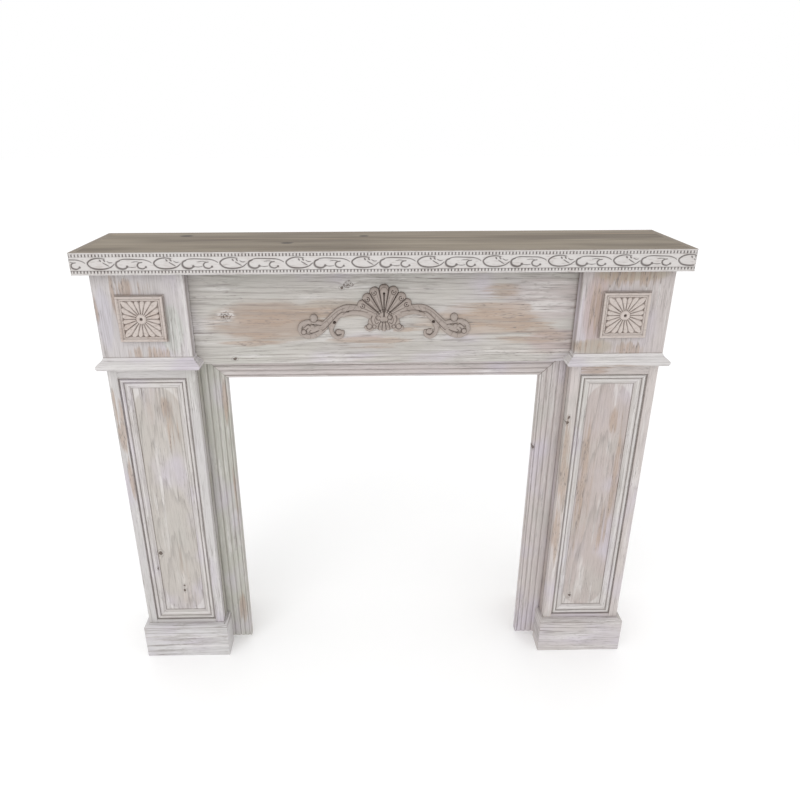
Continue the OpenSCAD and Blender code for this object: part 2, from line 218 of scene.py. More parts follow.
def limewash(
    name, grain, seed, pith=(0.0, 0.09), bare=0.5, spots=(), knots=(), joints=None, ring=0.006,
    grey=1.0, lime=LIME, rings=0.25, taper=0.012, thick_wash_and_highlight=None, stains=(), eased=0.0009,
):
    """Finishes a board as pine under limewash. grain names the axes along, across and into it.
    Places on it are given across and then along, in metres. pith is where the middle of the
    tree lies, across and into the board, so the yearly rings show as arches on its face. bare
    is how much wood shows through the wash, spots are where it was rubbed thin, knots are
    places and radii, joints gives where brown glaze has collected and where shade
    is painted in the same brown, and thick_wash_and_highlight where the wash lies thick and
    where highlights are painted. rings is how plainly the yearly rings show, and taper is how
    fast the tree narrows along the board. stains are places, sizes and colours where the
    wood's own colour came up through the wash."""
    material = new_material(name)
    place, *xyz = coordinates(material.node_tree)
    along, across, deep = ["XYZ".index(axis) for axis in grain]
    rng = np.random.default_rng(seed)
    shift = rng.uniform(-5, 5, 3)
    board = place.node(
        "ShaderNodeCombineXYZ",
        {},
        {0: xyz[along] + shift[0], 1: xyz[across] + shift[1], 2: xyz[deep] + shift[2]},
    )
    # yearly rings round the pith, slightly tapered and wavering, drawn out round the knots
    waver = noise(board, (2.2, 8, 8), 3.0) - 0.5
    ragged = (noise(board, (150, 260, 260), 2.0) - 0.5) * 2.0
    broad = noise(board, (4, 110, 110), 3.0)
    u = xyz[across] - pith[0]
    w = xyz[deep] - pith[1]
    radius = (u * u + w * w) ** 0.5 + waver * 0.018 + xyz[along] * taper
    cracks, swirls = [], []
    for spot_at, size in knots:
        du = (xyz[across] - spot_at[0]) / size + ragged
        dv = (xyz[along] - spot_at[1]) / (1.4 * size) + ragged * 0.6
        near = du * du + dv * dv
        radius = radius + size * 1.1 * (1 + near * 0.15) ** -2.0
        if size < PALE_KNOT:
            cracks.append(higher(step(near, 1.1, 0.4), line(near, 2.4, 1.0) * 0.3))
        else:
            crack = higher(line(near, 1.0, 0.7), step(near, 0.6, 0.1))
            cracks.append(crack * step(abs(ragged), 0.0, 0.18))
            swirls.append(step(near, 6.0, 1.5))
    ring_count = radius / ring + broad * 1.3
    phase = ring_count.math("FRACT", ring_count)
    late_wood = step(phase, 0.68, 0.93) * step(phase, 1.0, 0.95)
    # fibres, from hair-fine to a few millimetres wide, and short open pores
    hair = noise(board, (26, 760, 760), 2.0)
    medium = noise(board, (11, 330, 330), 3.0)
    pores = step(noise(board, (75, 430, 430), 1.0), 0.57, 0.72)
    patches = noise(board, (3.2, 14, 14), 3.0)
    clouds = noise(board, (6.0, 9, 9), 2.0)
    scuffs = noise(board, (11, 26, 26), 2.0)
    # where the wash is thin
    thin = patches * 0.5 + broad * 0.35 + medium * 0.15
    rubbed = step(thin, 0.64 - 0.16 * bare, 0.78 - 0.16 * bare) * (0.25 + 0.45 * bare)
    for centre, size in spots:
        inside = spot(xyz[across], xyz[along], centre, size)
        streaky = (broad - 0.5) * 2.4 + (medium - 0.5) * 1.2 + (scuffs - 0.5) * 1.4 + inside * 0.65
        rubbed = higher(rubbed, step(streaky, 0.2, 0.75) * step(inside, 0.0, 0.15) * 0.7)
    colour = layer(lime, LIME_LILAC, step(clouds, 0.48, 0.72) * 0.8)
    colour = layer(colour, LIME_GREEN, step(clouds, 0.48, 0.28) * 0.5)
    for centre, size, tone in stains:
        inside = spot(xyz[across], xyz[along], centre, size)
        colour = layer(colour, tone, step(inside + (scuffs + broad - 1.0) * 0.7, 0.2, 0.8) * 0.75)
    colour = layer(colour, BARE, rubbed)
    thick = step(broad * 0.5 + scuffs * 0.3 + medium * 0.2, 0.51, 0.62) * 0.6 * (1 - rubbed)
    # Thick lime where the wash lies thick, and also painted highlights on the panel mouldings' crests.
    if thick_wash_and_highlight:
        thick = higher(thick, step(thick_wash_and_highlight(*xyz) + (scuffs + broad - 1.0) * 0.6, 0.25, 0.9) * 0.5)
    if swirls:
        thick = higher(thick, higher(*swirls) * step(medium, 0.35, 0.6) * 0.8)
    colour = layer(colour, THICK_LIME_AND_HIGHLIGHT, thick)
    worn = step(scuffs, 0.44, 0.62)
    lines = late_wood * step(patches, 0.3, 0.6) * rings + step(medium, 0.50, 0.70) * (0.24 + 0.4 * worn)
    lines = lines + step(hair, 0.48, 0.72) * 0.34 + pores * (0.35 * worn + 0.9 * rubbed)
    colour = layer(colour, GRAIN_GREY, lines * grey * 0.8)
    if cracks:
        colour = layer(colour, KNOT, higher(*cracks) * 0.85)
    # Brown glaze in the seams, and painted shade under overhangs, in corners and on side faces, in the same
    # brown.
    if joints:
        glaze_and_shade = joints(*xyz) * (0.35 + 0.9 * noise(board, (18, 60, 60), 2.0))
        if grain[2] == "Y":  # none ran round to the board's back
            middle_y = middle_of(name).y
            glaze_and_shade = glaze_and_shade * step(xyz[1], middle_y + 0.001, middle_y - 0.001)
        colour = layer(colour, GLAZE_AND_SHADE_BROWN, glaze_and_shade)
    roughness = 0.62 + 0.25 * broad
    height = (hair * 0.4 + medium * 0.9 + broad * 0.6 - pores * 0.3 - late_wood * 0.35) * 0.0007
    close_material(colour, roughness, height, 0.7)
    dress(name, material, eased)


behind_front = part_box("left_outer_side")[0].y
# The side boards get a darker copy of the fronts' lime: painted shade for the side faces.
SIDE_LIME_SHADED = {"left": paint(182, 180, 171), "right": paint(184, 173, 168)}


# A dark line where each side board meets the back of the front: glaze in the joint, and painted shade in
# the corner.
def side_corner_glaze_and_shade(x, y, z):
    return line(y, behind_front, 0.0060) * 0.85


for n, side in enumerate(SIDES):
    for m, face in enumerate(("outer", "inner")):
        limewash(
            f"{side}_{face}_side", "ZYX", 10 + 3 * n + m, pith=(0.02, 0.3 - 0.6 * n), bare=0.55,
            joints=side_corner_glaze_and_shade, lime=SIDE_LIME_SHADED[side],
        )


# --- Panelled fronts ---
# Stiles and rails glued round a loose panel, with a mitred moulding pressed in round it.
# Brown glaze was wiped over the lime and stayed in the corners. Shade under the capitals is
# painted in with it, and highlights are painted on the moulding's crests.

def leg_opening(side):
    """The opening in the panelled front, as its lowest and highest corner."""
    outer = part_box(f"{side}_outer_stile")
    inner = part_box(f"{side}_inner_stile")
    across = sorted([outer[0].x, outer[1].x, inner[0].x, inner[1].x])
    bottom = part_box(f"{side}_bottom_rail")[1].z
    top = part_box(f"{side}_top_rail")[0].z
    return (across[1], bottom), (across[2], top)


def inside_of(x, z, low, high):
    """How far a point lies inside a rectangle, from its nearest side."""
    return lower(x - low[0], high[0] - x, z - low[1], high[1] - z)


under_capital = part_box("left_capital_front")[0].z
over_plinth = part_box("left_plinth_front")[1].z
bead_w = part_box("left_panel_moulding_top")[1].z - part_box("left_panel_moulding_top")[0].z

frame_spots = {
    "left_outer_stile": [
        ((-0.567, 0.66), (0.014, 0.05)),
        ((-0.565, 0.60), (0.012, 0.05)),
        ((-0.558, 0.49), (0.010, 0.06)),
    ],
    "right_inner_stile": [((0.402, 0.52), (0.012, 0.16)), ((0.400, 0.33), (0.010, 0.10))],
    "right_top_rail": [((0.742, 0.44), (0.012, 0.05))],
}
frame_knots = {"right_inner_stile": [((0.399, 0.632), 0.0030), ((0.396, 0.620), 0.0036)]}
FRAME_LIME = {"left": paint(202, 199, 198), "right": paint(203, 195, 192)}
PANEL_LIME = {"left": paint(193, 187, 181), "right": paint(190, 179, 175)}
panel_spots = {
    "left": [((-0.456, 0.615), (0.016, 0.085)), ((-0.462, 0.66), (0.02, 0.03))],
    "right": [
        ((0.448, 0.46), (0.012, 0.22)),
        ((0.522, 0.50), (0.012, 0.17)),
        ((0.51, 0.33), (0.012, 0.09)),
        ((0.505, 0.620), (0.020, 0.035)),
    ],
}
knot_on_edge = ((-0.525, 0.288), 0.0048)  # half of it is in the panel, half in the moulding
panel_knots = {
    "left": [((-0.480, 0.194), 0.0026), ((-0.481, 0.180), 0.0034), knot_on_edge],
    "right": [((0.454, 0.150), 0.0035)],
}
moulding_knots = {"left_panel_moulding_outer": [((-0.526, 0.288), 0.0048), ((-0.536, 0.246), 0.0028)]}

for n, side in enumerate(SIDES):
    low, high = leg_opening(side)

    # The line under the capital is painted shade. The edge of the opening and the line over the plinth are
    # glaze in the joints.
    def frame_glaze_and_shade(x, y, z):
        edge = line(inside_of(x, z, low, high), 0.0, 0.0020) * 0.6
        return higher(edge, higher(line(z, under_capital, 0.005), line(z, over_plinth, 0.0030)) * 0.5)

    for m, part in enumerate(("outer_stile", "inner_stile", "top_rail", "bottom_rail")):
        name = f"{side}_{part}"
        grain, across = ("XZY", "z") if part.endswith("rail") else ("ZXY", "x")
        limewash(
            name, grain, 30 + 5 * n + m, pith=(getattr(middle_of(name), across) + 0.01, 0.05),
            bare=0.35, rings=0.15, lime=FRAME_LIME[side], spots=frame_spots.get(name, []),
            knots=frame_knots.get(name, []), joints=frame_glaze_and_shade, grey=1.15,
        )

    def panel_joints(x, y, z):
        return line(inside_of(x, z, low, high), bead_w, 0.0026) * 0.8

    centre = (low[0] + high[0]) / 2
    panel_half = (high[0] - low[0]) / 2 - bead_w
    panel_foot, panel_head = low[1] + bead_w, high[1] - bead_w

    # The sandpaper went round in ovals, so the wash stayed thick in the panel's corners
    def panel_corners(x, y, z):
        arch = 0.055
        past = higher(z - (panel_head - arch), panel_foot + arch - z, 0.0) / arch
        u = (x - centre) / panel_half
        return step(u * u + past * past, 0.80, 1.25)

    # The panel is a flat-sawn board, so the rings stand in tall arches on its face
    limewash(
        f"{side}_panel", "ZXY", 60 + n, pith=(centre + 0.004, 0.03), bare=0.55, ring=0.0075,
        spots=panel_spots[side], knots=panel_knots[side], joints=panel_joints,
        lime=PANEL_LIME[side], taper=0.04, rings=0.4, thick_wash_and_highlight=panel_corners,
    )

    # The moulding: a bead beside the frame, then a hollow that falls to the panel
    def moulding_joints(x, y, z):
        inset = inside_of(x, z, low, high)
        quirk = line(inset, 0.0012, 0.0020) * 0.55
        groove = line(inset, bead_w * 0.44, 0.0018) * 0.55
        foot = line(inset, bead_w * 0.90, 0.0014) * 0.5
        return higher(quirk, groove, foot)

    # Painted highlights: pale lime along the bead's two crests.
    def moulding_crest_highlights(x, y, z):
        inset = inside_of(x, z, low, high)
        return higher(line(inset, bead_w * 0.24, 0.003), line(inset, bead_w * 0.66, 0.003))

    for m, run in enumerate(("top", "bottom", "outer", "inner")):
        name = f"{side}_panel_moulding_{run}"
        grain, across = ("XZY", "z") if run in ("top", "bottom") else ("ZXY", "x")
        limewash(
            name, grain, 70 + 5 * n + m, pith=(getattr(middle_of(name), across) + 0.03, 0.1),
            bare=0.3, knots=moulding_knots.get(name, []), joints=moulding_joints,
            thick_wash_and_highlight=moulding_crest_highlights, grey=1.15, eased=0.0003,
        )


# --- Blocks ---
# Solid pine blocks at the heads of the legs. The rosettes are glued on them, and the rubbing
# went round the rosettes, so the wood shows there.

block_spots = {
    "left": [
        ((-0.49, 0.922), (0.045, 0.022)),
        ((-0.485, 0.786), (0.060, 0.020)),
        ((-0.531, 0.90), (0.010, 0.07)),
        ((-0.572, 0.88), (0.008, 0.04)),
    ],
    "right": [
        ((0.485, 0.938), (0.075, 0.024)),
        ((0.42, 0.795), (0.032, 0.018)),
        ((0.425, 0.87), (0.016, 0.07)),
        ((0.500, 0.785), (0.040, 0.020)),
    ],
}

block_stains = {
    "left": [
        ((-0.43, 0.84), (0.03, 0.06), paint(190, 192, 186)),
        ((-0.56, 0.86), (0.02, 0.08), paint(196, 192, 199)),
    ],
    "right": [
        ((0.425, 0.87), (0.030, 0.10), paint(184, 166, 162)),
        ((0.49, 0.945), (0.09, 0.020), paint(180, 170, 154)),
        ((0.43, 0.793), (0.05, 0.022), paint(176, 166, 152)),
    ],
}
BLOCK_LIME = {"left": paint(199, 194, 194), "right": paint(196, 188, 186)}
under_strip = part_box("edge_strip_front")[0].z
block_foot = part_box("left_block")[0].z

for n, side in enumerate(SIDES):
    tile_low, tile_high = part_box(f"{side}_rosette")
    inner_x = min(abs(corner.x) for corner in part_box(f"{side}_block"))

    # Painted shade under the edge strip, on the block's inner side face and round the rosette tile, in the
    # glaze's brown. The line at the block's foot is glaze in the joint.
    def block_glaze_and_shade(x, y, z):
        inset = inside_of(x, z, (tile_low.x, tile_low.z), (tile_high.x, tile_high.z))
        shade = line(z, under_strip, 0.006) * 0.4
        inner_side = step(abs(x) - inner_x, 0.0016, 0.0008) * 0.4
        round_tile = line(inset, -0.0005, 0.0035) * 0.55
        return higher(round_tile, line(z, block_foot, 0.003) * 0.6, shade, inner_side)

    name = f"{side}_block"
    limewash(
        name, "ZXY", 90 + n, pith=(middle_of(name).x, 0.02), bare=0.35, spots=block_spots[side],
        joints=block_glaze_and_shade, ring=0.005, rings=0.1, grey=1.2, stains=block_stains[side],
        lime=BLOCK_LIME[side],
    )


# --- Capitals ---
# A moulding planed from pine and mitred round the head of each leg.

capital_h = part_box("left_capital_front")[1].z - under_capital
RUNS = (("front", "XZY"), ("outer_return", "YZX"), ("inner_return", "YZX"))  # and their grain
capital_spots = {"right_capital_front": [((0.756, 0.49), (0.004, 0.09))]}


# The line at the capital's foot is painted shade under its overhang. The other two lines are glaze in its
# quirks.
def capital_glaze_and_shade(x, y, z):
    quirk = line(z, under_capital + capital_h * 0.80, 0.0018) * 0.35
    foot = line(z, under_capital, 0.002) * 0.4
    return higher(quirk, foot, line(z, under_capital + capital_h * 0.37, 0.0012) * 0.2)


for n, side in enumerate(SIDES):
    for m, (part, grain) in enumerate(RUNS):
        name = f"{side}_capital_{part}"
        limewash(
            name, grain, 110 + 5 * n + m, pith=(0.8, 0.1), bare=0.2, joints=capital_glaze_and_shade,
            lime=paint(214, 211, 210), spots=capital_spots.get(name, []), rings=0.1, grey=0.7,
            eased=0.0005,
        )


# --- Plinths ---
# Boards laid along the grain round the foot of each leg, their top edge eased by hand.

eased_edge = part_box("left_plinth_front")[1].z - 0.0045
PLINTH_LIME = {"left": paint(209, 207, 207), "right": paint(203, 197, 195)}


def plinth_joints(x, y, z):
    return line(z, eased_edge, 0.0022) * 0.55


for n, side in enumerate(SIDES):
    for m, (part, grain) in enumerate(RUNS):
        limewash(
            f"{side}_plinth_{part}", grain, 130 + 5 * n + m, pith=(0.045, -0.06), bare=0.35,
            joints=plinth_joints, grey=1.2, rings=0.6, lime=PLINTH_LIME[side],
        )


# --- Reeded lining of the opening ---
# One reeded pine moulding, cut into a header and two slips and mitred at the corners.

opening_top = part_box("header_moulding")[0].z
slip_low, slip_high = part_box("right_slip")
opening_half = slip_low.x
reed_w = slip_high.x - slip_low.x
REEDS = (0.09, 0.28, 0.48, 0.73)  # places of the grooves, as shares of the moulding's width


def reed_joints(x, y, z):
    across = higher(abs(x) - opening_half, z - opening_top)
    grooves = line(across, 0.0, 0.0015) * 0.5
    for share in REEDS:
        grooves = higher(grooves, line(across, share * reed_w, 0.0018) * 0.42)
    # the right mitre has opened more than the left one
    mitre = line(abs(x) - opening_half - (z - opening_top), 0.0, 0.0015)
    mitre = mitre * (0.5 + 0.6 * step(x, 0.0, 0.1))
    return higher(grooves * 0.68, mitre * step(z, opening_top - 0.004, opening_top))


left_slip_spots = [
    ((-0.346, 0.66), (0.008, 0.06)),
    ((-0.342, 0.46), (0.006, 0.12)),
    ((-0.35, 0.10), (0.012, 0.07)),
]
for n, (name, grain, pith, lime, spots, knots) in enumerate(
    (
        ("header_moulding", "XZY", (0.75, 0.05), paint(199, 191, 189), [], []),
        ("left_slip", "ZXY", (-0.40, 0.03), paint(190, 189, 181), left_slip_spots, []),
        ("right_slip", "ZXY", (0.38, 0.03), paint(199, 191, 189), [], [((0.337, 0.542), 0.0035)]),
    )
):
    limewash(
        name, grain, 150 + n, pith=pith, bare=0.5, knots=knots, joints=reed_joints, lime=lime,
        spots=spots, rings=0.15, eased=0.0003,
    )


# --- Frieze ---
# One wide flat-sawn board. The wash is thin over its middle, and its knots show.

frieze_low, frieze_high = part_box("frieze_board")


# Painted shade at the board's ends beside the blocks and under the edge strip, in the glaze's brown. The
# two grooves near its foot hold glaze.
def frieze_glaze_and_shade(x, y, z):
    ends = higher(line(x, frieze_high.x, 0.007) * 0.6, line(x, frieze_low.x, 0.004) * 0.25)
    shade = line(z, under_strip, 0.006) * 0.6
    grooves = higher(line(z, frieze_low.z + 0.012, 0.0012), line(z, frieze_low.z + 0.020, 0.0012))
    return higher(ends, shade, grooves * 0.4)


frieze_stains = [
    ((0.885, 0.33), (0.055, 0.11), paint(191, 181, 179)),
    ((0.79, 0.0), (0.02, 0.25), paint(184, 180, 174)),
    ((0.80, 0.36), (0.03, 0.08), paint(186, 170, 168)),
    ((0.84, 0.20), (0.035, 0.16), paint(184, 168, 155)),
    ((0.845, -0.24), (0.055, 0.14), paint(168, 149, 135)),
    ((0.87, -0.10), (0.025, 0.10), paint(180, 168, 156)),
]
frieze_spots = [
    ((0.852, -0.235), (0.036, 0.075)),
    ((0.808, -0.275), (0.022, 0.075)),
    ((0.858, -0.13), (0.030, 0.08)),
    ((0.838, 0.26), (0.026, 0.13)),
    ((0.810, 0.30), (0.022, 0.09)),
    ((0.868, 0.20), (0.030, 0.10)),
    ((0.800, -0.03), (0.018, 0.09)),
    ((0.905, 0.23), (0.022, 0.05)),
    ((0.825, 0.07), (0.014, 0.05)),
]
frieze_knots = [
    ((0.914, -0.085), 0.0030),
    ((0.921, -0.071), 0.0060),
    ((0.858, -0.323), 0.0070),
    ((0.765, -0.312), 0.0032),
]
limewash(
    "frieze_board", "XZY", 171, pith=(0.845, -0.02), bare=0.6, ring=0.009, rings=0.5, grey=1.15,
    stains=frieze_stains, spots=frieze_spots, knots=frieze_knots, joints=frieze_glaze_and_shade,
    lime=paint(195, 191, 186),
)


# --- Shelf ---
# A wide pine board, stained grey-brown and waxed, with the grain along it.


def stained(name, knots):
    material = new_material(name)
    place, x, y, z = coordinates(material.node_tree)
    waver = noise(place, (1.6, 7, 7), 2.0) - 0.5
    w = z - 0.93
    u = y - 0.02
    radius = (u * u + w * w) ** 0.5 + waver * 0.02 + x * 0.008
    cores = []
    for (knot_x, knot_y), size in knots:
        du = (y - knot_y) / size
        dv = (x - knot_x) / (1.6 * size)
        near = du * du + dv * dv
        radius = radius + size * 1.6 * (1 + near * 0.25) ** -2.0
        cores.append(step(near, 2.0, 0.5))
    phase = (radius / 0.0065).math("FRACT", radius / 0.0065)
    late_wood = step(phase, 0.4, 0.9) * step(phase, 1.0, 0.93)
    fine = noise(place, (18, 520, 520), 3.0)
    coarse = noise(place, (3, 90, 90), 3.0)
    patches = noise(place, (2.0, 11, 11), 3.0)
    colour = layer(paint(145, 134, 117), paint(108, 97, 82), step(patches, 0.35, 0.65))
    colour = layer(colour, paint(166, 156, 140), step(coarse, 0.5, 0.72) * 0.7)
    colour = layer(colour, paint(150, 122, 98), step(coarse * 0.5 + patches * 0.5, 0.55, 0.66) * 0.35)
    colour = layer(colour, paint(96, 83, 72), late_wood * 0.5 + step(fine, 0.5, 0.8) * 0.3)
    colour = layer(colour, paint(34, 24, 18), higher(*cores) * 0.9)
    height = (fine * 0.5 + coarse * 0.7 - late_wood * 0.3) * 0.0005
    close_material(colour, 0.5 + 0.2 * coarse, height, 0.5)
    return material


shelf_knots = [((-0.419, 0.071), 0.0075), ((-0.195, -0.023), 0.0070), ((-0.040, 0.056), 0.0055)]
dress("shelf_board", stained("shelf_board", shelf_knots))


# --- Edge strips ---
# Pine strip run through heated rollers that press beads and running scrolls into it. Limewash
# fills the face and brown glaze stays in what was pressed in. Mitred round the shelf.

strip_low, strip_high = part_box("edge_strip_front")
# sizes of the strip and of its pattern, in mm
strip_h = (strip_high.z - strip_low.z) * 1000
strip_t = (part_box("edge_strip_left")[1].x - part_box("edge_strip_left")[0].x) * 1000
REPEAT = 125.7  # length after which the scrolls repeat
FIRST_REPEAT = 34.2  # where the first one begins, from the strip's left end
BEAD_PITCH = 6.45
BEAD_ROWS = ((4.9, 3.4), (strip_h - 5.6, 3.0))  # middle of each row and half its height
LIP = 3.4  # height of the plain lips over and under the beads


def flowing(points, n=14):
    """A smooth line through a few points, as many short steps."""
    p = np.array([points[0]] + list(points) + [points[-1]], float)
    t = np.linspace(0, 1, n, endpoint=False)[:, None]
    runs = [
        0.5 * (2 * b + (c - a) * t + (2 * a - 5 * b + 4 * c - d) * t**2 + (3 * b - a - 3 * c + d) * t**3)
        for a, b, c, d in zip(p[:-3], p[1:-2], p[2:-1], p[3:])
    ]
    return np.vstack(runs + [p[-1:]])


def away(u, v, path):
    """Distance of every grid point from a path, and how far along the path it is, 0 to 1."""
    best = np.full(u.shape, 1e9)
    part = np.zeros(u.shape)
    steps = len(path) - 1
    for i in range(steps):
        a = path[i]
        d = path[i + 1] - a
        t = np.clip(((u - a[0]) * d[0] + (v - a[1]) * d[1]) / (d @ d + 1e-12), 0, 1)
        gap = np.hypot(u - a[0] - t * d[0], v - a[1] - t * d[1])
        nearer = gap < best
        best = np.where(nearer, gap, best)
        part = np.where(nearer, (i + t) / steps, part)
    return best, part


# One repeat of the running scroll: an open C, a smaller C with a long stem and a third curl.
# Places are along the strip and up from its lower edge, and each line has its width.
OPEN_C = [(34, 31), (21, 32.3), (8, 29.5), (0.5, 22.6), (6, 15), (17, 11.8), (32, 12), (44, 15.5), (51, 21)]
SCROLLS = [
    (OPEN_C, 1.5),
    ([(62, 27.5), (56.4, 25), (54.2, 20), (57, 14.4), (65, 11.6), (72, 13), (74.5, 16.5)], 2.1),
    ([(58, 26), (64, 29), (74, 30.4), (92, 29.8), (107, 29.2), (117, 26.2), (122, 23)], 0.95),
    ([(76, 15.8), (84, 14.8), (92, 15.6)], 0.7),
    ([(104, 24), (97.5, 22.8), (94.5, 18.3), (97, 13.6), (104, 11.8), (109.5, 14)], 1.5),
    ([(24, 29.4), (26.4, 26.2)], 1.5),
    ([(31.5, 29.4), (34.2, 26.2)], 1.5),
    ([(29.5, 24), (35, 20.5), (41, 17)], 1.0),
    ([(38, 26.5), (43, 23.8), (48, 24.4)], 0.8),
    ([(84, 24.4), (92, 25.6), (99, 24.6)], 0.6),
]
SCROLL_EYES = [(75.0, 16, 2.7), (110.5, 15.2, 2.3)]


def pressed_face(length):
    """Heights of the strip's face over a grid, below 0 where the rollers pressed it in, and how
    much glaze lies there."""
    columns = np.linspace(0, length, int(length / 0.78) + 1)
    edge_rows = np.array([0, 1.2, 2.2])
    middle_rows = np.linspace(3.0, strip_h - 3.0, 50)
    rows = np.concatenate([edge_rows, middle_rows, strip_h - edge_rows[::-1]])
    u, v = np.meshgrid(columns, rows)
    height = np.where((v > LIP) & (v < strip_h - LIP), -0.9, 0.0)
    for middle, tall in BEAD_ROWS:
        ridge = np.clip(1 - ((v - middle) / tall) ** 2, 0, 1)
        bead = np.clip(1 - ((u % BEAD_PITCH - BEAD_PITCH / 2) / (BEAD_PITCH * 0.36)) ** 2, 0, 1)
        inside = np.abs(v - middle) < tall
        height = np.where(inside, -1.9 + 1.7 * np.sqrt(ridge * bead), height)
    # running scrolls, each line a groove between two soft shoulders
    w = (u - FIRST_REPEAT) % REPEAT
    groove = np.zeros(u.shape)
    shoulder = np.zeros(u.shape)
    for shift in (-REPEAT, 0, REPEAT):
        for points, width in SCROLLS:
            path = flowing(points) + [shift, 0]
            if path[:, 0].max() < -6 or path[:, 0].min() > REPEAT + 6:  # too far off to touch
                continue
            gap, part = away(w, v, path)
            wide = width * (0.75 + 0.6 * np.sin(np.pi * part))
            groove = np.maximum(groove, np.clip(1 - gap / wide, 0, 1))
            shoulder = np.maximum(shoulder, np.exp(-(((gap - 2.1 * width) / 1.3) ** 2)))
        for x, y, r in SCROLL_EYES:
            gap = np.hypot(w - x - shift, v - y)
            groove = np.maximum(groove, np.clip(1.4 - 1.2 * gap / r, 0, 1))
    field = (v > 8.6) & (v < strip_h - 8.8)
    height = np.where(field, height + 0.45 * shoulder - 1.3 * groove, height)
    dark = np.where(field, np.clip(groove * 1.7, 0, 1), np.clip((-0.75 - height) / 0.9, 0, 1))
    dark = np.where((v < LIP) | (v > strip_h - LIP), 0, dark)
    return u, v, height, dark


def grid_quads(shape):
    """The corners of every square of a grid, as numbers of its points."""
    index = np.arange(shape[0] * shape[1]).reshape(shape)
    return np.stack([index[:-1, :-1], index[:-1, 1:], index[1:, 1:], index[1:, :-1]], -1)


def add_piece(name, places, faces, smooth, dark):
    """Adds a carved mesh. smooth is how many of its faces are smooth, from the first on, and
    dark is how much glaze lies at each point, with painted shade along the rosette tiles' edges."""
    mesh = bpy.data.meshes.new(name)
    mesh.from_pydata(places.tolist(), [], faces.tolist())
    mesh.polygons.foreach_set("use_smooth", np.arange(len(faces)) < smooth)
    glaze_and_shade = mesh.attributes.new("glaze_and_shade", "FLOAT", "POINT")
    glaze_and_shade.data.foreach_set("value", dark.astype(np.float32))
    mesh.update()
    piece = bpy.data.objects.new(name, mesh)
    bpy.context.scene.collection.objects.link(piece)
    return piece


def carve(name, face, to_row, back, mitred=lambda a: a):
    """A carved piece: a face of heights over a grid, with its sides run down to the back.
    to_row turns places on the face and heights, in mm, into places in the row frame. back is the
    height of the back, and mitred draws the back's ends in where the piece meets the next."""
    u, v, height, dark = face
    rows, columns = u.shape
    index = np.arange(rows * columns).reshape(rows, columns)
    quads = grid_quads(u.shape).reshape(-1, 4)
    rim = np.concatenate([index[0, :-1], index[:-1, -1], index[-1, :0:-1], index[:0:-1, 0]])
    front = to_row(u.ravel(), v.ravel(), height.ravel())
    behind = to_row(mitred(u.ravel()[rim]), v.ravel()[rim], np.full(len(rim), float(back)))
    after = np.arange(len(rim)) + rows * columns
    skirt = np.stack([np.roll(rim, -1), rim, after, np.roll(after, -1)], -1)
    places, faces = np.vstack([front, behind]), np.vstack([quads, skirt])
    glaze = np.concatenate([dark.ravel(), np.zeros(len(rim))])
    return add_piece(name, places, faces, len(quads), glaze)


def facing_front(origin):
    """Turns mm across, up and out of the front into places in the row frame."""
    return lambda a, b, h: np.stack(
        [origin.x + a / 1000, origin.y - h / 1000, origin.z + b / 1000], -1
    )


def glaze_and_shade_finish(material_name, seed, lime, glaze, bare, strength, grain, stained_top=None):
    """Limewash over a carved piece, with glaze where the carving is deep and painted shade along
    the rosette tiles' edges. stained_top is the height above which it carries the brown stain of
    the shelf."""
    material = new_material(material_name)
    place, x, y, z = coordinates(material.node_tree)
    deep = place.node("ShaderNodeAttribute", {"attribute_name": "glaze_and_shade"}, {}, output="Fac")
    rng = np.random.default_rng(seed)
    moved = place.node(
        "ShaderNodeVectorMath", {"operation": "ADD"}, {0: place, 1: tuple(rng.uniform(-3, 3, 3))}
    )
    blotches = noise(moved, (30, 30, 30), 3.0)
    grit = noise(moved, grain, 2.0)
    colour = layer(lime, bare, step(blotches * 0.6 + grit * 0.4, 0.48, 0.68) * 0.6)
    colour = layer(colour, GRAIN_GREY, step(grit, 0.52, 0.78) * 0.35)
    # Glaze in the hollows, and painted shade where the carving marks it, along the rosette tiles' edges.
    colour = layer(colour, glaze, deep * strength * (0.72 + 0.5 * blotches))
    if stained_top is not None:
        brown = layer(paint(150, 140, 127), paint(122, 111, 100), grit)
        colour = layer(colour, brown, step(z, stained_top - 0.0006, stained_top - 0.0001))
    height = (grit * 0.6 + blotches) * 0.0004
    close_material(colour, 0.6 + 0.2 * grit, height, 0.5)
    return material


strip_finish = glaze_and_shade_finish(
    "pressed_strip", 5, paint(207, 203, 201), paint(96, 89, 86), paint(190, 182, 178), 0.9,
    (60, 400, 400), stained_top=strip_high.z,
)


def finish_piece(piece, material, node):
    piece.data.materials.append(material)
    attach(piece, "root")
    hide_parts(node)


length = (strip_high.x - strip_low.x) * 1000
front_strip = carve(
    "pressed_strip_front",
    pressed_face(length),
    facing_front(strip_low),
    -strip_t,
    lambda a: np.clip(a, strip_t, length - strip_t),
)
finish_piece(front_strip, strip_finish, "edge_strip_front")

for side, sign in (("left", -1), ("right", 1)):
    low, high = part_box(f"edge_strip_{side}")
    depth = (high.y - low.y) * 1000
    outside = low.x if sign < 0 else high.x
    # the left return runs from the wall to the front corner, the right one back to the wall
    start_y = high.y if sign < 0 else low.y

    def facing_side(a, b, h):
        return np.stack([outside + sign * h / 1000, start_y + sign * a / 1000, low.z + b / 1000], -1)

    def mitred_at_front(a):
        return np.minimum(a, depth - strip_t) if sign < 0 else np.maximum(a, strip_t)

    name = f"pressed_strip_{side}"
    piece = carve(name, pressed_face(depth), facing_side, -strip_t, mitred_at_front)
    finish_piece(piece, strip_finish, f"edge_strip_{side}")


# --- Rosettes ---
# Square tiles of pressed wood glued on the blocks: a flower of narrow petals in a raised frame,
# rubbed back to a pinkish wood, with glaze between the petals.

PETALS = 20


